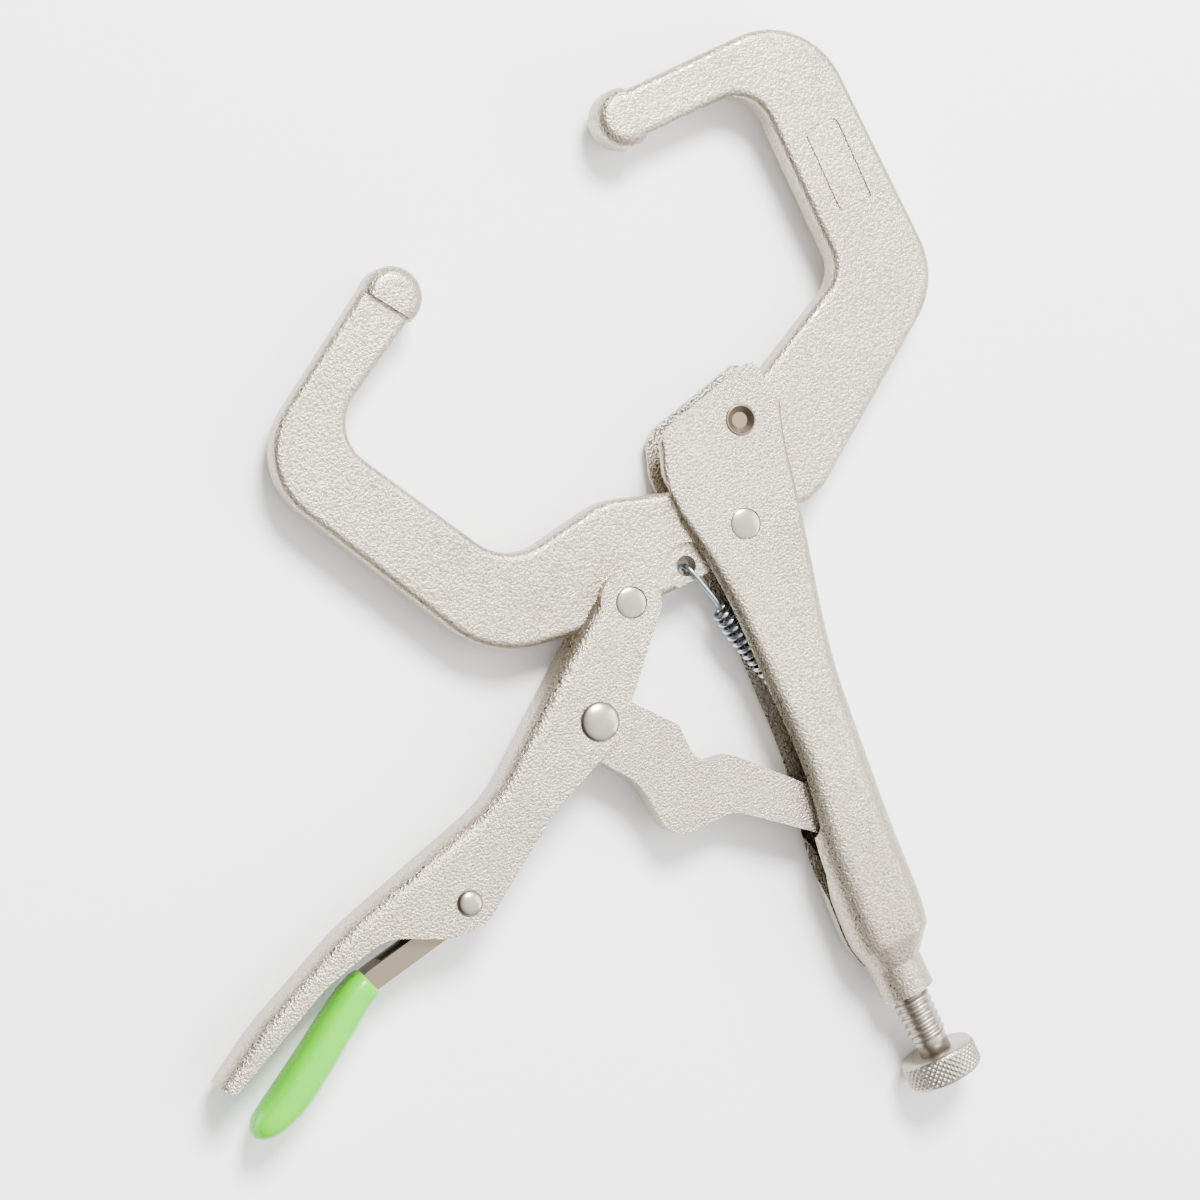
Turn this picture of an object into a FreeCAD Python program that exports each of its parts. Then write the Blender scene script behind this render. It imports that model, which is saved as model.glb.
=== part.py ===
import FreeCAD, Part
import Sketcher
import math
import os
from FreeCAD import Vector, Placement, Rotation

# Locking pliers of the C-clamp pattern, lying flat. All outlines are drawn from the
# jaw pivot, with +Y along the adjusting screw towards the jaws and +X towards the
# fixed jaw's back. The mid plane of the tool is Z = 0 until each piece is placed.

# name, millimetres
SIZES = [
    ("pivot_x", 32.82), ("pivot_y", 12.73), ("pivot_z", 6.5), ("through", 40),
    ("jaw_thick", 5.8), ("jaw_round", 1.3), ("hub_radius", 7.5), ("hub_room", 8.0),
    ("tip_radius", 4.85), ("tip_thick", 7.6), ("tip_round", 2.2), ("tip_ridge", 1.6),
    ("channel_gap", 6.4), ("channel_wide", 9.4), ("sheet", 1.5), ("spine_round", 2.5),
    ("link_thick", 5.0), ("link_eye", 5.2), ("link_nose", 3.2), ("lever_ear", 5.0),
    ("rivet_radius", 2.5), ("pin_radius", 2.1), ("running", 0.05),
    ("rivet_long", 9.9), ("rivet_round", 0.2),
    ("link_head", 3.2), ("link_head_tall", 1.0), ("link_head_round", 0.75), ("shank_round", 0.1),
    ("pin_long", 11.2), ("pin_round", 0.8),
    ("dimple_radius", 2.2), ("dimple_deep", 0.8),
    ("screw_x", -7.0), ("screw_radius", 3.1), ("screw_bevel", 1.0), ("shoulder_radius", 2.7),
    ("stub_radius", 2.0), ("stub_long", 3.5), ("socket_deep", 3.7), ("thread_runout", 0.6),
    ("screw_tip", -56.7), ("thread_end", -89.0), ("knob_top", -91.4), ("knob_end", -95.9),
    ("knob_radius", 6.35), ("knob_round", 0.5),
    ("tube_room", 0.06), ("tube_radius", 4.45), ("tube_long", 5.5), ("frame_deep", 0.3),
    ("spring_hole", 1.65), ("lug_wide", 2.4), ("lug_thick", 1.3),
    ("spot_radius", 3.8), ("spot_deep", 1.0),
    ("release_thick", 5.6), ("release_gap", 3.4), ("sleeve_thick", 9.0), ("sleeve_round", 1.9),
    ("spring_radius", 2.3), ("spring_wire", 0.4), ("eye_to_wire", 4.0), ("eye_to_coil", 14.5),
    ("coil_to_lug", 4.0),
]

JAW_PIVOT = (0, 0)
FRONT_RIVET = (6.5, 15.1)
LEVER_PIVOT = (-22.4, -2.8)
LINK_PIVOT = (-35.2, -17.2)
RELEASE_PIVOT = (-66.3, -32.9)
LINK_NOSE = (-6.6, -48.7)
SPRING_EYE = (-11.0, -2.0)
SPRING_LUG = (-1.4, -36.6)
FIXED_TIP = (10.9, 65.6)
MOVING_TIP = (-35.5, 56.2)

# An outline is a list of corners: x, y and the radius that rounds it.
FIXED_JAW = [
    (10.9, 69.5, 0), (46.4, 69.5, 13), (48.0, 20.6, 13), (15.5, -0.6, 4), (12.5, -1.7, 2),
    (8.2, -1.7, 0), (7.0, 6.0, 0), (2.8, 8.6, 0), (2.8, 18.6, 2), (11.2, 18.7, 4),
    (32.7, 28.7, 6), (32.5, 61.6, 6), (10.9, 61.6, 0),
]
MOVING_JAW = [
    (-33.4, 52.5, 0), (-53.8, 41.7, 7), (-37.2, 11.0, 9), (-19.0, 13.3, 12), (-7.6, 9.4, 2),
    (-1.0, 7.2, 0), (-1.0, -7.2, 0), (-7.0, -4.6, 1), (-17.2, -4.6, 1), (-20.0, -7.0, 2),
    (-25.5, -7.0, 2), (-30.0, -3.9, 4), (-46.2, -0.9, 16), (-67.9, 42.3, 12), (-38.4, 59.9, 0),
]
MARK_FRAME = [(36.6, 51.5), (42.9, 51.5), (42.9, 37.1), (36.6, 37.1)]
MARK_LINE = 0.5
MARK_ROUND = 1.2
# The fixed handle's cheeks cover the jaws between these two x.
CHEEKS = (-18.5, 11.5)

# Outer sections of the fixed handle: y, left, right, half width, corner radius.
HANDLE_SECTIONS = [
    (26.0, -8.9, 13.6, 4.7, 0.9), (12.0, -8.9, 12.9, 4.7, 0.9), (0.0, -8.3, 10.2, 4.7, 1.4),
    (-12.0, -7.6, 7.5, 4.8, 2.2), (-26.0, -8.2, 4.4, 5.3, 2.9), (-40.0, -9.2, 2.8, 6.0, 3.6),
    (-54.0, -11.8, 1.6, 6.4, 4.2), (-60.0, -12.3, 1.25, 6.45, 4.2),
    (-66.0, -12.7, 0.9, 6.45, 4.2), (-71.0, -12.5, 0.1, 6.2, 4.2),
]
# The neck runs from the last section down to this one, where the round tube starts.
NECK_SECTION = (-75.0, -11.45, -2.55, 4.45, 4.0)
# The threaded bore for the screw starts here and runs out of the tube's end.
BORE_TOP = -70.0
# The nose of the fixed handle, cut away outside this line.
NOSE_CUT = [(-20, 5, 0), (-8.7, 5, 0), (-8.7, 18.3, 6.5), (12.6, 22.9, 1.2), (13.4, 15.0, 0),
            (20, 15.0, 0), (20, 40, 0), (-20, 40, 0)]
# Above OPEN_ABOVE the hollow breaks out of the left side; below it the sides curl together.
OPEN_ABOVE = -47.0
OPEN_LEFT = -16.0
# The gap between the curled sides, along Y: wide for the toggle link, then a narrow slit.
LINK_GAP_TOP = -44.0
LINK_GAP_END = -56.6
LINK_GAP_HALF = 3.0
SLIT_START = -61.0
SLIT_END = -73.5
SLIT_HALF = 0.55
SLIT_FROM_X = -9.0
# The channel's back is open above this line, between the two cheeks.
BACK_OPEN_FROM = -3.5
BACK_OPEN_TO = 40.0
BACK_OPEN_HALF = 3.2
LUG_RIGHT = 3.0
DIMPLE_TAPER = -50

LEVER = [
    (-25.6, 1.1, 0), (-36.0, -6.1, 12), (-56.0, -20.4, 25), (-86.0, -27.5, 40), (-104.0, -34.6, 30),
    (-113.4, -39.7, 0), (-111.9, -42.3, 0), (-92.0, -34.0, 12), (-80.5, -31.6, 8),
    (-71.2, -36.6, 6), (-65.0, -37.0, 4), (-49.0, -27.1, 10), (-33.4, -20.9, 6), (-19.2, -6.6, 0),
]
# The hollow of the lever, one sheet inside its spine.
LEVER_HOLLOW = [
    (-34.0, -4.0, 0), (-34.6, -7.2, 0), (-56.0, -22.2, 25), (-86.0, -29.1, 40), (-103.0, -35.7, 20),
    (-110.0, -39.6, 0), (-108.0, -44.0, 0), (-60.0, -44.0, 0), (-10.0, -14.0, 0), (-10.0, 10.0, 0),
    (-34.0, 10.0, 0),
]
# The spine's edges lie above a line through this point with this slope, left of SPINE_END.
SPINE_POINT = (-40.0, -13.0)
SPINE_SLOPE = 0.24
SPINE_END = -27.0
LINK = [
    (-31.2, -13.9, 0), (-23.3, -23.9, 1.5), (-23.3, -31.0, 3.5), (-17.5, -32.1, 1.5),
    (-4.3, -46.5, 0), (-8.6, -51.2, 0), (-21.2, -40.3, 5), (-32.0, -40.1, 4), (-33.2, -29.0, 9),
    (-39.3, -20.5, 0),
]
RELEASE = [
    (-58.6, -26.4, 0.8), (-66.0, -29.0, 3), (-74.0, -33.6, 4), (-85.0, -35.2, 2),
    (-93.0, -38.2, 4), (-109.0, -47.6, 0.6), (-108.2, -49.1, 0.6), (-92.6, -40.4, 4),
    (-86.0, -38.6, 2), (-72.0, -36.6, 4), (-66.0, -36.6, 3), (-58.6, -29.6, 0.8),
]
RELEASE_HOLLOW = [
    (-57.0, -24.0, 0), (-57.0, -28.2, 0), (-65.0, -34.6, 2), (-72.0, -35.3, 4), (-82.0, -36.4, 0),
    (-83.0, -30.0, 0),
]
SLEEVE = [
    (-85.2, -34.9, 1.6), (-90.6, -35.9, 5), (-102.0, -42.3, 20), (-111.9, -47.6, 2.0),
    (-111.6, -51.2, 2.2), (-104.0, -52.2, 4), (-90.0, -42.4, 12), (-85.2, -40.2, 1.6),
]

doc = FreeCAD.newDocument("locking_pliers")
sheet = doc.addObject("Spreadsheet::Sheet", "Sizes")
for row, (name, value) in enumerate(SIZES, start=1):
    sheet.set(f"A{row}", name)
    sheet.set(f"B{row}", str(value))
    sheet.setAlias(f"B{row}", name)
doc.recompute()
pieces = []


def size(name):
    """The sheet's value of a driving size."""
    return float(sheet.get(name))


def rounded(corners):
    """Lines and arcs along a closed outline whose corners are rounded by their radii."""
    points = []
    count = len(corners)
    for index, (x, y, radius) in enumerate(corners):
        here = Vector(x, y, 0)
        back = Vector(*corners[index - 1][:2], 0) - here
        ahead = Vector(*corners[(index + 1) % count][:2], 0) - here
        back.normalize()
        ahead.normalize()
        if radius == 0:
            points.append((here, None, here))
            continue
        half = back.getAngle(ahead) / 2
        middle = (back + ahead).normalize()
        reach = radius / math.tan(half)
        top = here + middle * (radius / math.sin(half) - radius)
        points.append((here + back * reach, top, here + ahead * reach))
    shapes = []
    for index, (start, top, end) in enumerate(points):
        if top is not None:
            shapes.append(Part.Arc(start, top, end))
        following = points[(index + 1) % count][0]
        if (following - end).Length > 1e-6:
            shapes.append(Part.LineSegment(end, following))
    return shapes


def new_body(label):
    """A body placed so that the tool lies on the ground with its middle at the origin."""
    body = doc.addObject("PartDesign::Body", label)
    body.Label = label
    for axis in "xyz":
        body.setExpression(f"Placement.Base.{axis}", f"Sizes.pivot_{axis}")
    pieces.append(body)
    return body


def new_sketch(body, name, shapes, plane="XY_Plane", offset=0, offset_expression=None):
    sketch = body.newObject("Sketcher::SketchObject", name)
    origin_plane = [f for f in body.Origin.OriginFeatures if f.Role == plane][0]
    sketch.AttachmentSupport = [(origin_plane, "")]
    sketch.MapMode = "FlatFace"
    sketch.AttachmentOffset = Placement(Vector(0, 0, offset), Rotation())
    if offset_expression:
        sketch.setExpression("AttachmentOffset.Base.z", offset_expression)
    for shape in shapes:
        sketch.addGeometry(shape, False)
    return sketch


def disc(body, name, centre, radius_expression, **where):
    """A sketch of one circle whose radius follows the sheet."""
    circle = Part.Circle(Vector(*centre, 0), Vector(0, 0, 1), 1)
    sketch = new_sketch(body, name, [circle], **where)
    index = sketch.addConstraint(Sketcher.Constraint("Radius", 0, 1.0))
    sketch.setExpression(f"Constraints[{index}]", radius_expression)
    return sketch


def demand(item):
    """Stop at a feature that failed or left no valid shape."""
    if "Invalid" in item.State or "Error" in item.State or item.Shape.isNull() or not item.Shape.isValid():
        raise RuntimeError(f"{item.getParentGeoFeatureGroup().Label}: {item.Name} failed")


def feature(kind, body, name, sketch, length, symmetric=True, reverse=False):
    made = body.newObject(f"PartDesign::{kind}", name)
    made.Profile = sketch
    made.SideType = "Symmetric" if symmetric else "One side"
    made.Reversed = reverse
    made.setExpression("Length", length)
    doc.recompute()
    demand(made)
    return made


def pad(body, name, sketch, length, **how):
    return feature("Pad", body, name, sketch, length, **how)


def pocket(body, name, sketch, length, **how):
    before = body.Shape.Volume
    made = feature("Pocket", body, name, sketch, length, **how)
    if body.Shape.Volume > before - 1e-3:
        raise RuntimeError(f"{body.Label}: {name} cut nothing")
    return made


def bore(body, name, centre, radius_expression):
    return pocket(body, name, disc(body, name + "_circle", centre, radius_expression), "Sizes.through")


def soften(body, name, radius_expression, wanted):
    """Round the edges of the body's tip that the test picks."""
    tip = body.Tip
    names = [f"Edge{i}" for i, edge in enumerate(tip.Shape.Edges, start=1) if wanted(edge)]
    made = body.newObject("PartDesign::Fillet", name)
    made.Base = (tip, names)
    made.setExpression("Radius", radius_expression)
    doc.recompute()
    demand(made)
    return made


def at_height(height):
    return lambda edge: all(abs(abs(v.Z) - height) < 1e-4 for v in edge.Vertexes)


def tip_outline(centre, towards_arm):
    """A round tip that ends in a straight ridge across the arm."""
    radius = size("tip_radius")
    ridge = size("tip_ridge")
    along = Vector(*towards_arm, 0).normalize()
    across = Vector(-along.y, along.x, 0)
    middle = Vector(*centre, 0)
    half = math.sqrt(radius ** 2 - ridge ** 2)
    left = middle + along * ridge + across * half
    right = middle + along * ridge - across * half
    return [Part.Arc(left, middle - along * radius, right), Part.LineSegment(right, left)]


def make_jaw(label, outline, tip, towards_arm):
    jaw = new_body(label)
    pad(jaw, "arm", new_sketch(jaw, "arm_outline", rounded(outline)), "Sizes.jaw_thick")
    outer = at_height(size("jaw_thick") / 2)
    soften(jaw, "arm_round", "Sizes.jaw_round", lambda e: outer(e) and outside_cheeks(e))
    pad(jaw, "tip", new_sketch(jaw, "tip_outline", tip_outline(tip, towards_arm)), "Sizes.tip_thick")
    face = at_height(size("tip_thick") / 2)
    soften(jaw, "tip_round", "Sizes.tip_round", lambda e: face(e) and isinstance(e.Curve, Part.Circle))
    return jaw


def outside_cheeks(edge):
    """Edges that the handle's cheeks don't cover, short of the tip's plain end."""
    middle = edge.valueAt((edge.FirstParameter + edge.LastParameter) / 2)
    return middle.x < CHEEKS[0] or middle.x > CHEEKS[1]


def make_fixed_jaw():
    jaw = make_jaw("fixed_jaw", FIXED_JAW, FIXED_TIP, (1, 0))
    pocket(jaw, "hub_room", disc(jaw, "hub_room_circle", JAW_PIVOT, "Sizes.hub_room"), "Sizes.through")
    bore(jaw, "rivet_hole", FRONT_RIVET, "Sizes.rivet_radius")
    left, top = MARK_FRAME[0]
    right, bottom = MARK_FRAME[2]
    inner = [(left + MARK_LINE, top - MARK_LINE), (right - MARK_LINE, top - MARK_LINE),
             (right - MARK_LINE, bottom + MARK_LINE), (left + MARK_LINE, bottom + MARK_LINE)]
    frame = rounded([(x, y, MARK_ROUND) for x, y in MARK_FRAME])
    frame += rounded([(x, y, MARK_ROUND - MARK_LINE) for x, y in inner])
    line = new_sketch(jaw, "mark_frame", frame, offset_expression="Sizes.jaw_thick / 2")
    pocket(jaw, "mark_line", line, "Sizes.frame_deep", symmetric=False)


def make_moving_jaw():
    jaw = make_jaw("moving_jaw", MOVING_JAW, MOVING_TIP, (-0.84, -0.55))
    pad(jaw, "hub", disc(jaw, "hub_circle", JAW_PIVOT, "Sizes.hub_radius"), "Sizes.jaw_thick")
    for side, reverse in ((1, False), (-1, True)):
        face = f"{side} * Sizes.jaw_thick / 2"
        spot = disc(jaw, f"spot_{side + 1}", SPRING_EYE, "Sizes.spot_radius", offset_expression=face)
        pocket(jaw, f"spot_face_{side + 1}", spot, "Sizes.spot_deep", symmetric=False, reverse=reverse)
    bore(jaw, "pivot_bore", JAW_PIVOT, "Sizes.rivet_radius + Sizes.running")
    bore(jaw, "lever_hole", LEVER_PIVOT, "Sizes.rivet_radius")
    bore(jaw, "spring_eye", SPRING_EYE, "Sizes.spring_hole")


def section(body, name, left, right, half, radius, y):
    """A rounded rectangle across the handle; the sketch's normal points along -Y."""
    corners = [(left, -half, radius), (right, -half, radius), (right, half, radius), (left, half, radius)]
    return new_sketch(body, name, rounded(corners), plane="XZ_Plane", offset=-y)


def loft(kind, body, name, sections):
    made = body.newObject(f"PartDesign::{kind}", name)
    made.Profile = sections[0]
    made.Sections = sections[1:]
    made.Ruled = False
    doc.recompute()


def make_fixed_handle():
    handle = new_body("fixed_handle")
    wall = size("sheet")
    outer = []
    inner = []
    for index, (y, left, right, half, radius) in enumerate(HANDLE_SECTIONS):
        outer.append(section(handle, f"outer_{index}", left, right, half, radius, y))
    loft("AdditiveLoft", handle, "channel", outer)
    y, left, right, half, radius = HANDLE_SECTIONS[-1]
    neck_top = section(handle, "neck_top", left, right, half, radius, y)
    y, left, right, half, radius = NECK_SECTION
    neck_end = section(handle, "neck_end", left, right, half, radius, y)
    loft("AdditiveLoft", handle, "neck", [neck_top, neck_end])
    tube = disc(handle, "tube_circle", (size("screw_x"), 0), "Sizes.tube_radius", plane="XZ_Plane", offset=-y)
    pad(handle, "tube", tube, "Sizes.tube_long", symmetric=False)
    bore_circle = disc(handle, "screw_circle", (size("screw_x"), 0), "Sizes.screw_radius + Sizes.tube_room",
                       plane="XZ_Plane", offset=-BORE_TOP)
    pocket(handle, "screw_bore", bore_circle, "Sizes.through", symmetric=False, reverse=True)
    for index, (y, left, right, half, radius) in enumerate(HANDLE_SECTIONS):
        inside = max(radius - wall, 0.3)
        inner_left = OPEN_LEFT if y > OPEN_ABOVE else left + wall
        inner.append(section(handle, f"inner_{index}", inner_left, right - wall, half - wall, inside, y))
    loft("SubtractiveLoft", handle, "hollow", inner)
    upper = [(LINK_GAP_TOP, LINK_GAP_HALF), (LINK_GAP_END, LINK_GAP_HALF), (SLIT_START, SLIT_HALF),
             (SLIT_END, SLIT_HALF)]
    lower = [(along, -half) for along, half in reversed(upper)]
    slit = rounded([(along, half, 0) for along, half in upper + lower])
    opening = new_sketch(handle, "slit_outline", slit, plane="YZ_Plane", offset=SLIT_FROM_X)
    pocket(handle, "slit", opening, "Sizes.through", symmetric=False)
    start, end, half = BACK_OPEN_FROM, BACK_OPEN_TO, BACK_OPEN_HALF
    back = rounded([(start, -half, 0), (end, -half, 0), (end, half, 0), (start, half, 0)])
    opening = new_sketch(handle, "back_outline", back, plane="YZ_Plane")
    pocket(handle, "back_opening", opening, "Sizes.through", symmetric=False, reverse=True)
    nose = new_sketch(handle, "nose_outline", rounded(NOSE_CUT))
    pocket(handle, "nose", nose, "Sizes.through")
    x, top = SPRING_LUG
    bottom = top - size("lug_thick")
    lug = [(x, top, 0), (LUG_RIGHT, top, 0), (LUG_RIGHT, bottom, 0), (x, bottom, 0)]
    pad(handle, "spring_lug", new_sketch(handle, "lug_outline", rounded(lug)), "Sizes.lug_wide")
    bore(handle, "jaw_rivet_hole", JAW_PIVOT, "Sizes.rivet_radius")
    bore(handle, "front_rivet_hole", FRONT_RIVET, "Sizes.rivet_radius")


def make_lever():
    lever = new_body("lever_handle")
    pad(lever, "channel", new_sketch(lever, "outline", rounded(LEVER)), "Sizes.channel_wide")
    edge_height = at_height(size("channel_wide") / 2)
    soften(lever, "spine_round", "Sizes.spine_round", lambda e: edge_height(e) and on_spine(e))
    pad(lever, "ear", disc(lever, "ear_circle", LEVER_PIVOT, "Sizes.lever_ear"), "Sizes.channel_wide")
    pocket(lever, "hollow", new_sketch(lever, "hollow_outline", rounded(LEVER_HOLLOW)), "Sizes.channel_gap")
    bore(lever, "jaw_hole", LEVER_PIVOT, "Sizes.rivet_radius + Sizes.running")
    bore(lever, "link_hole", LINK_PIVOT, "Sizes.rivet_radius")
    bore(lever, "release_hole", RELEASE_PIVOT, "Sizes.pin_radius")


def on_spine(edge):
    """The lever's upper edges, from the ear down to the start of the tail."""
    middle = edge.valueAt((edge.FirstParameter + edge.LastParameter) / 2)
    x, y = SPINE_POINT
    return middle.x < SPINE_END and middle.y > y + SPINE_SLOPE * (middle.x - x)


def make_link():
    link = new_body("toggle_link")
    pad(link, "plate", new_sketch(link, "outline", rounded(LINK)), "Sizes.link_thick")
    pad(link, "eye", disc(link, "eye_circle", LINK_PIVOT, "Sizes.link_eye"), "Sizes.link_thick")
    pad(link, "nose", disc(link, "nose_circle", LINK_NOSE, "Sizes.link_nose"), "Sizes.link_thick")
    bore(link, "pivot_bore", LINK_PIVOT, "Sizes.rivet_radius + Sizes.running")


def make_release_lever():
    lever = new_body("release_lever")
    pad(lever, "bar", new_sketch(lever, "outline", rounded(RELEASE)), "Sizes.release_thick")
    hollow = new_sketch(lever, "hollow_outline", rounded(RELEASE_HOLLOW))
    pocket(lever, "hollow", hollow, "Sizes.release_gap")
    bore(lever, "pin_bore", RELEASE_PIVOT, "Sizes.pin_radius + Sizes.running")


def make_sleeve():
    sleeve = new_body("release_sleeve")
    pad(sleeve, "grip", new_sketch(sleeve, "outline", rounded(SLEEVE)), "Sizes.sleeve_thick")
    soften(sleeve, "grip_round", "Sizes.sleeve_round", at_height(size("sleeve_thick") / 2))
    pocket(sleeve, "socket", new_sketch(sleeve, "socket_outline", rounded(RELEASE)), "Sizes.release_thick")


def make_rivet(label, centre, radius="rivet_radius", length="rivet_long", edge_round="rivet_round",
               dimple=False, heads=False):
    """A pin along Z; radius, length and edge_round are names of sizes in the sheet."""
    rivet = new_body(label)
    pad(rivet, "shank", disc(rivet, "shank_circle", centre, f"Sizes.{radius}"), f"Sizes.{length}")
    soften(rivet, "end_round", f"Sizes.{edge_round}", at_height(size(length) / 2))
    for side, reverse in ((1, False), (-1, True)):
        face = f"{side} * Sizes.{length} / 2"
        if heads:
            head = disc(rivet, f"head_{side + 1}", centre, "Sizes.link_head", offset_expression=face)
            pad(rivet, f"head_pad_{side + 1}", head, "Sizes.link_head_tall", symmetric=False, reverse=reverse)
        if dimple:
            cup = disc(rivet, f"cup_{side + 1}", centre, "Sizes.dimple_radius", offset_expression=face)
            cut = pocket(
                rivet, f"dimple_{side + 1}", cup, "Sizes.dimple_deep", symmetric=False, reverse=reverse)
            cut.TaperAngle = DIMPLE_TAPER
            doc.recompute()
    if heads:
        top = size(length) / 2 + size("link_head_tall")
        soften(rivet, "head_round", "Sizes.link_head_round", at_height(top))


def turned(label, profile):
    """A piece turned about the screw's axis: a list of radius and y, from end to end."""
    body = new_body(label)
    x = size("screw_x")
    start = profile[0][1]
    end = profile[-1][1]
    corners = [(x, start, 0)] + [(x + r, y, 0) for r, y in profile] + [(x, end, 0)]
    sketch = new_sketch(body, "half_profile", rounded(corners))
    sketch.addGeometry(Part.LineSegment(Vector(x, start, 0), Vector(x, end, 0)), True)
    made = body.newObject("PartDesign::Revolution", "turning")
    made.Profile = sketch
    made.ReferenceAxis = (sketch, ["Axis0"])
    made.Angle = 360
    doc.recompute()
    return body


def make_screw():
    radius = size("screw_radius")
    bevel = size("screw_bevel")
    shoulder = size("shoulder_radius")
    stub = size("stub_radius")
    tip = size("screw_tip")
    end = size("thread_end")
    knob = size("knob_top")
    turned("adjusting_screw", [
        (radius - bevel, tip), (radius, tip - bevel), (radius, end + size("thread_runout")),
        (shoulder, end), (shoulder, knob), (stub, knob), (stub, knob - size("stub_long"))])


def make_knob():
    radius = size("knob_radius")
    edge = size("knob_round")
    top = size("knob_top")
    end = size("knob_end")
    knob = turned("adjusting_knob", [
        (radius - edge, top), (radius, top - edge), (radius, end + edge), (radius - edge, end)])
    socket = disc(knob, "socket_circle", (size("screw_x"), 0),
                  "Sizes.stub_radius + Sizes.running", plane="XZ_Plane", offset=-top)
    pocket(knob, "socket", socket, "Sizes.socket_deep", symmetric=False, reverse=True)


def rod(start, end, radius):
    return Part.makeCylinder(radius, (end - start).Length, start, end - start)


def make_spring():
    """The closed outer shape of the spring: its coil as one rod, with a wire at each end."""
    eye = Vector(*SPRING_EYE, 0)
    wire = size("spring_wire")
    lug = Vector(*SPRING_LUG, 0) + Vector(0, wire, 0)
    along = (lug - eye).normalize()
    wire_start = eye + along * size("eye_to_wire")
    coil_start = eye + along * size("eye_to_coil")
    coil_end = lug - along * size("coil_to_lug")
    shape = rod(coil_start, coil_end, size("spring_radius"))
    shape = shape.fuse([rod(wire_start, coil_start, wire), rod(coil_end, lug, wire)]).removeSplitter()
    spring = doc.addObject("Part::Feature", "return_spring")
    spring.Label = "return_spring"
    spring.Shape = shape
    spring.Placement = Placement(Vector(size("pivot_x"), size("pivot_y"), size("pivot_z")), Rotation())
    pieces.append(spring)


make_fixed_handle()
make_fixed_jaw()
make_moving_jaw()
make_lever()
make_link()
make_release_lever()
make_sleeve()
make_screw()
make_knob()
make_spring()
make_rivet("jaw_pivot_rivet", JAW_PIVOT)
make_rivet("front_rivet", FRONT_RIVET, dimple=True)
make_rivet("lever_pivot_rivet", LEVER_PIVOT)
make_rivet("link_pivot_rivet", LINK_PIVOT, length="channel_wide", edge_round="shank_round", heads=True)
make_rivet("release_pin", RELEASE_PIVOT, radius="pin_radius", length="pin_long", edge_round="pin_round")
doc.recompute()

for item in doc.Objects:
    if "Invalid" in item.State or "Error" in item.State:
        raise RuntimeError(f"{item.Name} ({item.Label}): {item.State}")
os.makedirs("parts", exist_ok=True)
for piece in pieces:
    shape = piece.Shape
    if shape.isNull() or not shape.isValid() or not shape.Solids:
        raise RuntimeError(f"{piece.Label} has no valid solid")
    shape.exportStep(f"parts/{piece.Label}.step")
    box = shape.BoundBox
    print(f"{piece.Label}: {len(shape.Solids)} solid, {shape.Volume:.1f} mm3,"
          f" {box.XLength:.2f} x {box.YLength:.2f} x {box.ZLength:.2f} mm")
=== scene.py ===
import math

import bmesh
import bpy
from bpy.props import FloatProperty, FloatVectorProperty, IntProperty, PointerProperty
from mathutils import Matrix, Vector


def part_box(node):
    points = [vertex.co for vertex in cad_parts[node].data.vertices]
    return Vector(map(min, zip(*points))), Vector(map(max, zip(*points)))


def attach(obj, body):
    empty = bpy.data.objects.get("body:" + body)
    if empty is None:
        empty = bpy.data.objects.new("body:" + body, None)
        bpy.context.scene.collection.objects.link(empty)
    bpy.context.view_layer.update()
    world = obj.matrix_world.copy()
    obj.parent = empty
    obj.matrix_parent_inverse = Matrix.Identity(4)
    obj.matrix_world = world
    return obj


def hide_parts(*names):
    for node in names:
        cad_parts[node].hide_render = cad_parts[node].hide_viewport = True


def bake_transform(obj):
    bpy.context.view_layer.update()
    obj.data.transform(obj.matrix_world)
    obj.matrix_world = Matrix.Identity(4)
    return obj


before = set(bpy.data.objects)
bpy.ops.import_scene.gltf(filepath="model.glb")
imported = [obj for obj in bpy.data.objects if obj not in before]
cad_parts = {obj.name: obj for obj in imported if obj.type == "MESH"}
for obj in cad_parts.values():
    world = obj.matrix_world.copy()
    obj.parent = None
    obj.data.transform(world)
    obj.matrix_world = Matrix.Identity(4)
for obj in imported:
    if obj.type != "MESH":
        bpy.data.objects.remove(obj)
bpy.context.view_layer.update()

bl_info = {
    "name": "Locking Pliers",
    "version": (1, 0, 0),
    "blender": (4, 5, 0),
    "location": "View3D > Sidebar > Pliers",
    "description": "Finishes, thread, knurl, spring and grip of a pair of C-clamp locking pliers",
    "category": "Object",
}

MM = 0.001
TURN = 2 * math.pi
SIDES = 48
THREAD_STEPS = 10
COIL_STEPS = 20


def middle(node):
    low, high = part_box(node)
    return (low + high) / 2


JAW_PIVOT = middle("jaw_pivot_rivet")


def at(x, y, z=0.0):
    """A point given in millimetres from the jaw pivot."""
    return JAW_PIVOT + Vector((x, y, z)) * MM


class PliersSizes(bpy.types.PropertyGroup):
    """Sizes of the small pieces that are built on the frame."""

    pitch: FloatProperty(
        name="Thread Pitch", description="Distance between thread crests", default=1.27 * MM,
        subtype="DISTANCE", unit="LENGTH")
    thread_depth: FloatProperty(
        name="Thread Depth", description="Height of the thread", default=0.62 * MM,
        subtype="DISTANCE", unit="LENGTH")
    knurls: IntProperty(name="Knurls", description="Knurl lines round the knob", default=38, min=8)
    knurl_depth: FloatProperty(
        name="Knurl Depth", description="Depth of the knurling", default=0.42 * MM,
        subtype="DISTANCE", unit="LENGTH")
    wire: FloatProperty(
        name="Spring Wire", description="Radius of the spring's wire", default=0.4 * MM,
        subtype="DISTANCE", unit="LENGTH")
    coils: IntProperty(name="Coils", description="Turns of the return spring", default=17, min=2)
    grip_width: FloatProperty(
        name="Grip Half Width", description="Half the width of the vinyl grip", default=4.4 * MM,
        subtype="DISTANCE", unit="LENGTH")


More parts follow.
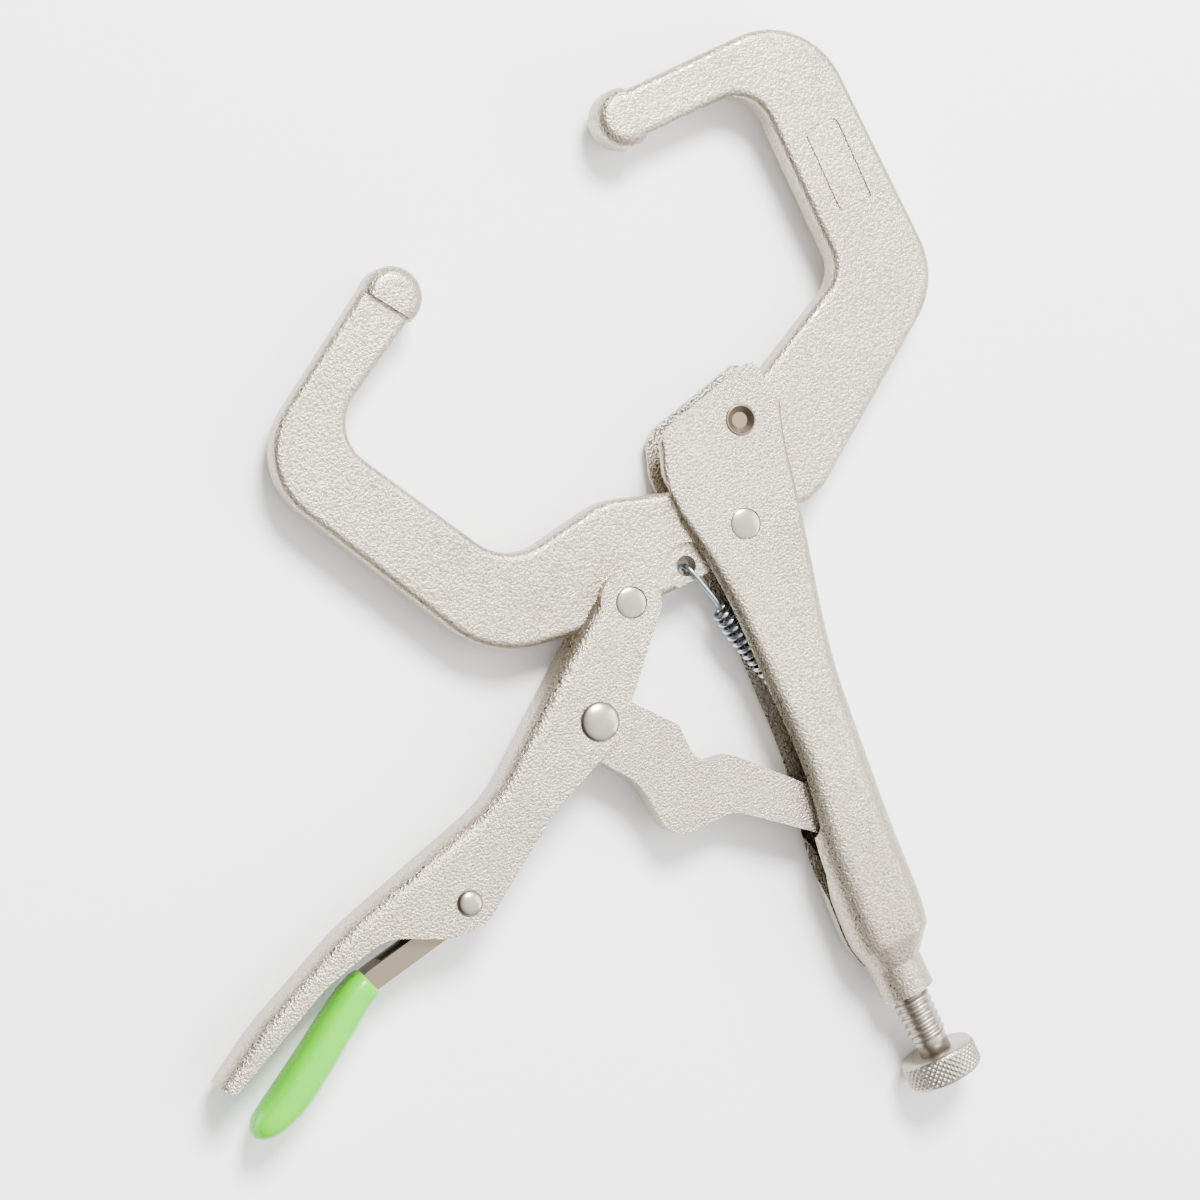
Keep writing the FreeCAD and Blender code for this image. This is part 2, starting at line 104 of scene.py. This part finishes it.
def colour(name, description, default):
    return FloatVectorProperty(
        name=name, description=description, default=default, subtype="COLOR", size=3, min=0, max=1)


class PliersColours(bpy.types.PropertyGroup):
    """Colours of the finishes."""

    nickel: colour("Nickel", "Blasted nickel plate", (0.50, 0.445, 0.36))
    nickel_dark: colour("Nickel Pits", "Pits of the blasted plate", (0.20, 0.165, 0.115))
    # A darker copy of the nickel: painted shade on the release lever and the dimpled front rivet.
    shade_painted_nickel: colour("Shade Painted Nickel", "Painted shade on the release lever and the dimpled rivet", (0.22, 0.18, 0.13))
    rivet: colour("Rivet", "Smooth plated rivet heads", (0.55, 0.51, 0.44))
    steel: colour("Steel", "Screw and knob", (0.42, 0.38, 0.325))
    steel_shade: colour("Steel Shade", "Turned lines of the screw", (0.30, 0.27, 0.24))
    knurl_shade: colour("Knurl Shade", "Grooves of the knob", (0.28, 0.25, 0.22))
    zinc: colour("Zinc", "Spring wire", (0.48, 0.53, 0.60))
    zinc_shade: colour("Zinc Shade", "Drawn lines of the spring wire", (0.34, 0.38, 0.45))
    vinyl: colour("Vinyl", "Dipped vinyl grip", (0.11, 0.60, 0.0))
    vinyl_deep: colour("Vinyl Shade", "Thicker parts of the dip", (0.05, 0.40, 0.0))
    floor: colour("Floor", "Plain pale floor", (0.95, 0.95, 0.95))


class Value:
    """A shader socket that adds Math nodes when it is used in an expression."""

    def __init__(self, look, socket):
        self.look = look
        self.socket = socket

    def _math(self, operation, first, second):
        return self.look.node("ShaderNodeMath", {"operation": operation}, {0: first, 1: second})

    def __add__(self, other):
        return self._math("ADD", self, other)

    def __radd__(self, other):
        return self._math("ADD", other, self)

    def __sub__(self, other):
        return self._math("SUBTRACT", self, other)

    def __rsub__(self, other):
        return self._math("SUBTRACT", other, self)

    def __mul__(self, other):
        return self._math("MULTIPLY", self, other)

    def __rmul__(self, other):
        return self._math("MULTIPLY", other, self)


class Look:
    """A material with one Principled shader, and one method that adds any other node."""

    def __init__(self, name):
        self.material = bpy.data.materials.new(name)
        self.material.use_nodes = True
        self.tree = self.material.node_tree
        self.shader = self.tree.nodes["Principled BSDF"]

    def node(self, kind, settings, inputs, output=0):
        made = self.tree.nodes.new(kind)
        for name, value in settings.items():
            if name == "stops":
                for element, (position, level) in zip(made.color_ramp.elements, value):
                    element.position = position
                    element.color = (level, level, level, 1)
            else:
                setattr(made, name, value)
        for name, value in inputs.items():
            self.put(made.inputs[name], value)
        return Value(self, made.outputs[output])

    def put(self, socket, value):
        if isinstance(value, Value):
            self.tree.links.new(value.socket, socket)
        else:
            socket.default_value = value

    def place(self, stretch=(1, 1, 1)):
        spot = self.node("ShaderNodeTexCoord", {}, {}, "Object")
        return self.node("ShaderNodeMapping", {}, {"Vector": spot, "Scale": stretch})

    def noise(self, spot, scale, detail=3.0):
        return self.node("ShaderNodeTexNoise", {}, {"Vector": spot, "Scale": scale, "Detail": detail}, "Fac")

    def ramp(self, value, low, high):
        stops = [(low, 0.0), (high, 1.0)]
        return self.node("ShaderNodeValToRGB", {"stops": stops}, {"Fac": value})

    def blend(self, mask, first, second):
        return self.node(
            "ShaderNodeMix", {"data_type": "RGBA"}, {0: mask, 6: (*first, 1), 7: (*second, 1)}, 2)

    def finish(self, base, roughness, height, strength, distance, fixed):
        bump = self.node(
            "ShaderNodeBump", {}, {"Height": height, "Strength": strength, "Distance": distance})
        self.put(self.shader.inputs["Base Color"], base)
        self.put(self.shader.inputs["Roughness"], roughness)
        self.put(self.shader.inputs["Normal"], bump)
        for name, value in fixed.items():
            self.put(self.shader.inputs[name], value)
        return self.material


def blasted_nickel(name, colours, rough, grain):
    """Satin nickel over blasted steel: fine pits, a faint cloudiness and rubbed spots."""
    look = Look(name)
    spot = look.place()
    pits = look.ramp(look.noise(spot, grain, 3.0), 0.36, 0.58)
    cloud = look.noise(spot, 90.0, 3.0)
    rubbed = look.ramp(look.noise(spot, 420.0, 5.0), 0.55, 0.78)
    mask = (1 - pits) * 0.48 + cloud * 0.36
    base = look.blend(mask, colours.nickel, colours.nickel_dark)
    roughness = rough + (1 - pits) * 0.14 - rubbed * 0.08 + cloud * 0.06
    return look.finish(base, roughness, pits + cloud * 0.3, 0.6, 0.0001, {"Metallic": 1.0})


def smooth_steel(name, light, shade, rough, stretch, strength=0.12):
    """Smooth metal with fine drawn or turned lines; stretch sets which way they run."""
    look = Look(name)
    lines = look.noise(look.place(stretch), 900.0, 3.0)
    smudge = look.noise(look.place(), 260.0, 4.0)
    mask = lines * 0.45 + smudge * 0.35
    base = look.blend(mask, light, shade)
    roughness = rough + lines * 0.1 + smudge * 0.12
    return look.finish(base, roughness, lines, strength, 0.00005, {"Metallic": 1.0})


def dipped_vinyl(colours):
    """Glossy vinyl with the slow waves and tiny pores that dipping leaves."""
    look = Look("green_vinyl")
    spot = look.place()
    wave = look.noise(spot, 130.0, 2.0)
    pores = look.ramp(look.noise(spot, 2400.0, 3.0), 0.30, 0.46)
    base = look.blend(wave * 0.8 + (1 - pores) * 0.2, colours.vinyl, colours.vinyl_deep)
    roughness = 0.2 + wave * 0.1 + (1 - pores) * 0.12
    fixed = {"Coat Weight": 0.2, "Coat Roughness": 0.1, "Specular IOR Level": 0.35, "Subsurface Weight": 0.04,
             "Subsurface Radius": (0.3 * MM, 0.6 * MM, 0.1 * MM)}
    return look.finish(base, roughness, wave + pores * 0.15, 0.22, 0.0003, fixed)


def wear(piece, material):
    piece.data.materials.clear()
    piece.data.materials.append(material)


def grid_piece(name, rows):
    """A closed tube of equal rings of points, capped at both ends."""
    mesh = bmesh.new()
    rings = [[mesh.verts.new(point) for point in row] for row in rows]
    count = len(rows[0])
    for low, high in zip(rings, rings[1:]):
        for step in range(count):
            following = (step + 1) % count
            mesh.faces.new((low[step], low[following], high[following], high[step]))
    mesh.faces.new(list(reversed(rings[0])))
    mesh.faces.new(rings[-1])
    bmesh.ops.recalc_face_normals(mesh, faces=mesh.faces)
    for face in mesh.faces:
        face.smooth = len(face.verts) == 4
    data = bpy.data.meshes.new(name)
    mesh.to_mesh(data)
    mesh.free()
    piece = bpy.data.objects.new(name, data)
    bpy.context.scene.collection.objects.link(piece)
    return piece


def turned_ring(centre, along, count, radius_at):
    """Points round the screw's axis, which runs along +Y; radius_at takes the angle."""
    ring = []
    for step in range(count):
        angle = TURN * step / count
        radius = radius_at(angle)
        ring.append(Vector((centre.x + radius * math.sin(angle), along, centre.z + radius * math.cos(angle))))
    return ring


def saw(value):
    """0 at whole numbers, 1 half way between."""
    return 1 - abs(2 * (value % 1.0) - 1)


class PLIERS_OT_finish_frame(bpy.types.Operator):
    """Give the carried-over steel pieces their plated finishes"""

    bl_idname = "pliers.finish_frame"
    bl_label = "Finish the Frame"

    def execute(self, context):
        colours = context.scene.pliers_colours
        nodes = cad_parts
        forging = blasted_nickel("blasted_forging", colours, 0.27, 2300.0)
        pressing = blasted_nickel("blasted_pressing", colours, 0.24, 2500.0)
        plate = blasted_nickel("blasted_plate", colours, 0.27, 2800.0)
        # Painted shade: the release lever and the dimpled front rivet get a darker copy of the nickel colour.
        shade_painted_nickel = smooth_steel("shade_painted_steel", colours.shade_painted_nickel, colours.nickel_dark, 0.26, (1, 1, 1), 0.10)
        finishes = {
            forging: ("fixed_jaw", "moving_jaw"),
            pressing: ("fixed_handle", "lever_handle"),
            plate: ("toggle_link",),
            shade_painted_nickel: ("release_lever", "front_rivet"),
        }
        for material, names in finishes.items():
            for name in names:
                wear(nodes[name], material)
        return {"FINISHED"}


class PLIERS_OT_adjusting_screw(bpy.types.Operator):
    """Cut a right-hand thread on the adjusting screw"""

    bl_idname = "pliers.adjusting_screw"
    bl_label = "Adjusting Screw"

    def execute(self, context):
        sizes = context.scene.pliers_sizes
        low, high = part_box("adjusting_screw")
        centre = (low + high) / 2
        crest = (high.x - low.x) / 2
        root = crest - sizes.thread_depth
        knob_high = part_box("adjusting_knob")[1]
        # Inside the knob a stub, then a plain shoulder, then the thread, which fades in and out.
        plain_length = 2.4 * MM
        thread_end = knob_high.y + plain_length
        shoulder = 2.7 * MM
        stub = 2.0 * MM
        chamfer = 0.6 * MM
        fade_steps = 8
        rows = [turned_ring(centre, low.y, SIDES, lambda a: stub),
                turned_ring(centre, knob_high.y + 0.01 * MM, SIDES, lambda a: stub),
                turned_ring(centre, knob_high.y + 0.02 * MM, SIDES, lambda a: shoulder)]
        step = sizes.pitch / THREAD_STEPS
        count = int((high.y - 0.1 * MM - thread_end) / step)
        for index in range(count + 1):
            along = thread_end + index * step
            fade = min(1.0, index / fade_steps, (count - index) / fade_steps)

            def radius_at(angle, along=along, fade=fade):
                height = min(1.0, 1.25 * saw(along / sizes.pitch - angle / TURN))
                cut = root + (crest - root) * height
                return shoulder * (1 - fade) + cut * fade

            rows.append(turned_ring(centre, along, SIDES, radius_at))
        rows.append(turned_ring(centre, high.y, SIDES, lambda a: shoulder - chamfer))
        screw = grid_piece("threaded_screw", rows)
        colours = context.scene.pliers_colours
        wear(screw, smooth_steel("turned_steel", colours.steel, colours.steel_shade, 0.24, (1, 14, 1)))
        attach(screw, "screw")
        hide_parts("adjusting_screw")
        return {"FINISHED"}


class PLIERS_OT_knob(bpy.types.Operator):
    """Roll a diamond knurl on the knob, with turned ends"""

    bl_idname = "pliers.knob"
    bl_label = "Knurled Knob"

    def execute(self, context):
        sizes = context.scene.pliers_sizes
        low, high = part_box("adjusting_knob")
        centre = (low + high) / 2
        radius = (high.x - low.x) / 2
        edge = 0.45 * MM
        count = sizes.knurls * 8
        knurl_pitch = TURN * radius / sizes.knurls
        # The outer end has a shallow centre dimple: depth, and share of the knob's radius.
        dimple = [(0.25 * MM, 0.16), (0.05 * MM, 0.22), (0.0, 0.27)]
        rows = []
        for depth, share in dimple:
            rows.append(turned_ring(centre, low.y + depth, count, lambda a, share=share: radius * share))
        rows.append(turned_ring(centre, low.y, count, lambda a: radius - edge))
        lines = 34
        fade_lines = 3
        for index in range(lines + 1):
            share = index / lines
            along = low.y + edge * 0.5 + (high.y - low.y - edge) * share
            fade = min(1.0, index / fade_lines, (lines - index) / fade_lines)

            def radius_at(angle, along=along, fade=fade):
                around = sizes.knurls * angle / TURN
                up = (along - low.y) / knurl_pitch
                height = min(saw(around + up), saw(around - up))
                return radius - sizes.knurl_depth * (1 - height * fade)

            rows.append(turned_ring(centre, along, count, radius_at))
        rows.append(turned_ring(centre, high.y, count, lambda a: radius - edge))
        rows.append(turned_ring(centre, high.y, count, lambda a: radius * 0.5))
        knob = grid_piece("knurled_knob", rows)
        colours = context.scene.pliers_colours
        wear(knob, smooth_steel("knurled_steel", colours.steel, colours.knurl_shade, 0.26, (1, 6, 1)))
        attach(knob, "knob")
        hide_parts("adjusting_knob")
        return {"FINISHED"}


class PLIERS_OT_rivets(bpy.types.Operator):
    """Turn the rivets and the pin with domed heads"""

    bl_idname = "pliers.rivets"
    bl_label = "Domed Rivets"

    def execute(self, context):
        colours = context.scene.pliers_colours
        polish = smooth_steel("plated_rivet", colours.rivet, colours.nickel_dark, 0.14, (1, 1, 1), 0.06)
        shank = (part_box("jaw_pivot_rivet")[1].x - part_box("jaw_pivot_rivet")[0].x) / 2
        # The dome stops just short of its pole, which leaves a tiny flat cap.
        crown = math.radians(88)
        steps = 12
        # node, new piece, body and the height of the dome
        rivets = [("jaw_pivot_rivet", "jaw_rivet_domed", "fixed_handle", 0.45 * MM),
                  ("lever_pivot_rivet", "lever_rivet_domed", "moving_jaw", 0.45 * MM),
                  ("link_pivot_rivet", "link_rivet_domed", "lever", 1.0 * MM),
                  ("release_pin", "release_pin_domed", "lever", 0.9 * MM)]
        for node, name, body, rise in rivets:
            low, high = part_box(node)
            centre = (low + high) / 2
            radius = (high.x - low.x) / 2
            base = (high.z - low.z) / 2 - rise
            dome = []
            for step in range(steps + 1):
                angle = crown * step / steps
                height = base + rise * math.sin(angle) / math.sin(crown)
                dome.append((height, radius * math.cos(angle)))
            neck = (base, min(radius, shank) - 0.01 * MM)
            profile = [(-z, r) for z, r in reversed(dome)] + [(-neck[0], neck[1]), neck] + dome
            rows = []
            for height, reach in profile:
                row = []
                for side in range(SIDES):
                    angle = TURN * side / SIDES
                    row.append(centre + Vector((reach * math.cos(angle), reach * math.sin(angle), height)))
                rows.append(row)
            rivet = grid_piece(name, rows)
            wear(rivet, polish)
            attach(rivet, body)
            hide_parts(node)
        return {"FINISHED"}


def smooth_line(points, steps):
    """Points along a Catmull-Rom curve through the given ones."""
    line = []
    ends = [points[0] * 2 - points[1]] + points + [points[-1] * 2 - points[-2]]
    for index in range(len(points) - 1):
        before, start, end, after = ends[index:index + 4]
        for step in range(steps):
            t = step / steps
            line.append(0.5 * (2 * start + (end - before) * t
                        + (2 * before - 5 * start + 4 * end - after) * t ** 2
                        + (3 * start - before - 3 * end + after) * t ** 3))
    return line + [points[-1]]


def wire_rows(line, radius, sides):
    """Rings round a line, carried along it without twisting."""
    rows = []
    side = None
    for index, point in enumerate(line):
        ahead = (line[min(index + 1, len(line) - 1)] - line[max(index - 1, 0)]).normalized()
        if side is None:
            side = ahead.orthogonal()
        side = (side - ahead * side.dot(ahead)).normalized()
        other = ahead.cross(side)
        row = []
        for step in range(sides):
            angle = TURN * step / sides
            row.append(point + (side * math.cos(angle) + other * math.sin(angle)) * radius)
        rows.append(row)
    return rows


class PLIERS_OT_spring(bpy.types.Operator):
    """Wind the return spring between the moving jaw's eye and the lug in the fixed handle"""

    bl_idname = "pliers.spring"
    bl_label = "Return Spring"

    def execute(self, context):
        sizes = context.scene.pliers_sizes
        eye = at(-11.0, -2.0)
        lug = at(-1.4, -36.2)
        span = (lug - eye).length
        axis = (lug - eye).normalized()
        up = Vector((0, 0, 1))
        across = up.cross(axis)
        coil_radius = 1.85 * MM
        start = 9.0 * MM
        end = span - 4.0 * MM
        front = 2.45 * MM
        taper = 5.0 * MM
        narrowest = 0.65
        hook_steps = 6
        wire_sides = 10

        def spot(along, height, aside=0.0):
            return eye + axis * along + up * height + across * aside

        top_hook = [spot(3.2 * MM, -front), spot(1.6 * MM, -front), spot(0.2 * MM, -1.7 * MM),
                    spot(0, 0), spot(0.2 * MM, 1.7 * MM), spot(1.6 * MM, front), spot(4.5 * MM, front * 0.98),
                    spot(7.6 * MM, front * 0.85)]
        coil = []
        turns = sizes.coils * COIL_STEPS
        for step in range(turns + 1):
            angle = TURN * step / COIL_STEPS
            along = start + (end - start) * step / turns
            # The first turns are narrower, which clears the toggle link when the jaws close.
            radius = coil_radius * min(1.0, narrowest + (1 - narrowest) * (along - start) / taper)
            coil.append(spot(along, radius * math.cos(angle), radius * math.sin(angle)))
        low_hook = [spot(end + 1.2 * MM, 1.8 * MM), spot(span + 0.6 * MM, 1.75 * MM),
                    spot(span + 2.6 * MM, 1.5 * MM), spot(span + 3.0 * MM, 0),
                    spot(span + 2.6 * MM, -1.5 * MM)]
        line = smooth_line(top_hook, hook_steps)[:-1] + coil + smooth_line(low_hook, hook_steps)
        spring = grid_piece("coiled_spring", wire_rows(line, sizes.wire, wire_sides))
        colours = context.scene.pliers_colours
        wear(spring, smooth_steel("zinc_wire", colours.zinc, colours.zinc_shade, 0.16, (3, 1, 3), 0.1))
        tuple(spot(start, 0))
        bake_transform(spring)
        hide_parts("return_spring")
        return {"FINISHED"}


class PLIERS_OT_grip(bpy.types.Operator):
    """Dip the release lever's tail in vinyl"""

    bl_idname = "pliers.grip"
    bl_label = "Vinyl Grip"

    def execute(self, context):
        half_width = context.scene.pliers_sizes.grip_width
        # along the grip: x and y from the jaw pivot, half height, share of the full width
        stations = [(-85.3, -37.0, 2.1, 0.80), (-85.9, -37.2, 2.55, 0.90), (-88.5, -38.3, 2.75, 0.96),
                    (-93.0, -40.9, 2.9, 1.0), (-98.5, -44.2, 3.05, 1.0), (-103.5, -47.0, 3.1, 1.0),
                    (-107.5, -48.7, 2.7, 0.95), (-110.2, -49.4, 1.9, 0.78), (-111.6, -49.6, 0.7, 0.40)]
        span_steps = 8
        centres = smooth_line([at(x, y) for x, y, _, _ in stations], span_steps)
        shapes = smooth_line([Vector((h * MM, w * half_width, 0)) for _, _, h, w in stations], span_steps)
        # Under 1 this swells the section from an ellipse towards a rounded rectangle.
        squareness = 0.72
        rows = []
        for index, (centre, shape) in enumerate(zip(centres, shapes)):
            ahead = (centres[min(index + 1, len(centres) - 1)] - centres[max(index - 1, 0)]).normalized()
            over = Vector((-ahead.y, ahead.x, 0))
            row = []
            for side in range(SIDES):
                angle = TURN * side / SIDES
                tall = math.copysign(abs(math.cos(angle)) ** squareness, math.cos(angle))
                wide = math.copysign(abs(math.sin(angle)) ** squareness, math.sin(angle))
                row.append(centre + over * tall * shape.x + Vector((0, 0, wide * shape.y)))
            rows.append(row)
        grip = grid_piece("vinyl_grip", rows)
        wear(grip, dipped_vinyl(context.scene.pliers_colours))
        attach(grip, "release")
        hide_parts("release_sleeve")
        return {"FINISHED"}


def soft_light(name, place, target, size, power):
    data = bpy.data.lights.new(name, "AREA")
    data.shape = "DISK"
    data.size = size
    data.energy = power
    light = bpy.data.objects.new(name, data)
    light.location = place
    light.rotation_euler = (target - place).to_track_quat("-Z", "Y").to_euler()
    bpy.context.scene.collection.objects.link(light)


class PLIERS_OT_stage(bpy.types.Operator):
    """Set the floor, the lights and the camera"""

    bl_idname = "pliers.stage"
    bl_label = "Stage"

    def execute(self, context):
        colours = context.scene.pliers_colours
        mesh = bmesh.new()
        bmesh.ops.create_grid(mesh, x_segments=1, y_segments=1, size=2.0)
        data = bpy.data.meshes.new("floor")
        mesh.to_mesh(data)
        mesh.free()
        floor = bpy.data.objects.new("floor", data)
        floor.location.z = -0.02 * MM
        context.scene.collection.objects.link(floor)
        look = Look("pale_floor")
        look.put(look.shader.inputs["Base Color"], (*colours.floor, 1))
        look.put(look.shader.inputs["Roughness"], 0.9)
        floor.data.materials.append(look.material)

        target = at(-25.6, -0.8)
        # name, place from the target in metres, size in metres and watts
        lights = [("key_light", (0.25, 0.45, 0.70), 0.30, 26.0),
                  ("fill_light", (0.65, -0.15, 0.55), 0.5, 3.0),
                  ("rim_light", (0.55, -0.50, 0.35), 0.35, 2.0)]
        for name, place, width, power in lights:
            soft_light(name, target + Vector(place), target, width, power)
        world = bpy.data.worlds.new("studio")
        world.use_nodes = True
        tree = world.node_tree
        sky = tree.nodes.new("ShaderNodeTexCoord")
        lean_right = tree.nodes.new("ShaderNodeMapping")
        lean_right.inputs["Rotation"].default_value = (math.radians(-12), math.radians(-25), 0)
        split = tree.nodes.new("ShaderNodeSeparateXYZ")
        shade = tree.nodes.new("ShaderNodeValToRGB")
        # Bright overhead and to the right, dark near the horizon, so that the steel's sides read.
        horizon = (0.055, 0.045, 0.033, 1)
        zenith = (1.75, 1.75, 1.75, 1)
        for element, position, level in zip(shade.color_ramp.elements, (0.22, 1.0), (horizon, zenith)):
            element.position = position
            element.color = level
        tree.links.new(sky.outputs["Generated"], lean_right.inputs[0])
        tree.links.new(lean_right.outputs[0], split.inputs[0])
        tree.links.new(split.outputs["Z"], shade.inputs["Fac"])
        tree.links.new(shade.outputs["Color"], tree.nodes["Background"].inputs["Color"])
        tree.nodes["Background"].inputs["Strength"].default_value = 1.75
        context.scene.world = world

        # The tool lies turned in the frame, seen from its left.
        lean = math.radians(16.5)
        rise = math.radians(0.5)
        turn = Matrix.Rotation(math.radians(-26.2), 3, "Z")
        distance = 0.5647
        flat = math.cos(rise)
        back = turn @ Vector((-math.sin(lean) * flat, math.sin(rise), math.cos(lean) * flat))
        right = (turn @ Vector((0, 1, 0))).cross(back).normalized()
        above = back.cross(right)
        camera = bpy.data.objects.new("camera", bpy.data.cameras.new("camera"))
        camera.data.lens = 107.6
        camera.data.sensor_width = 36.0
        camera.data.clip_start = 0.01
        facing = Matrix((right, above, back)).transposed().to_4x4()
        camera.matrix_world = Matrix.Translation(target + back * distance) @ facing
        context.scene.collection.objects.link(camera)
        context.scene.camera = camera
        return {"FINISHED"}


class PLIERS_PT_panel(bpy.types.Panel):
    """Buttons for each piece and the stage"""

    bl_idname = "PLIERS_PT_panel"
    bl_label = "Locking Pliers"
    bl_space_type = "VIEW_3D"
    bl_region_type = "UI"
    bl_category = "Pliers"

    def draw(self, context):
        for group in (context.scene.pliers_sizes, context.scene.pliers_colours):
            for name in group.__annotations__:
                self.layout.prop(group, name)
        for operator in OPERATORS:
            self.layout.operator(operator.bl_idname)


OPERATORS = (
    PLIERS_OT_finish_frame,
    PLIERS_OT_adjusting_screw,
    PLIERS_OT_knob,
    PLIERS_OT_rivets,
    PLIERS_OT_spring,
    PLIERS_OT_grip,
    PLIERS_OT_stage,
)
CLASSES = (PliersSizes, PliersColours, *OPERATORS, PLIERS_PT_panel)


def register():
    for cls in CLASSES:
        bpy.utils.register_class(cls)
    bpy.types.Scene.pliers_sizes = PointerProperty(type=PliersSizes)
    bpy.types.Scene.pliers_colours = PointerProperty(type=PliersColours)


def unregister():
    del bpy.types.Scene.pliers_colours
    del bpy.types.Scene.pliers_sizes
    for cls in reversed(CLASSES):
        bpy.utils.unregister_class(cls)


def main():
    register()
    bpy.ops.pliers.finish_frame()
    bpy.ops.pliers.adjusting_screw()
    bpy.ops.pliers.knob()
    bpy.ops.pliers.rivets()
    bpy.ops.pliers.spring()
    bpy.ops.pliers.grip()
    bpy.ops.pliers.stage()


if __name__ == "__main__":
    main()
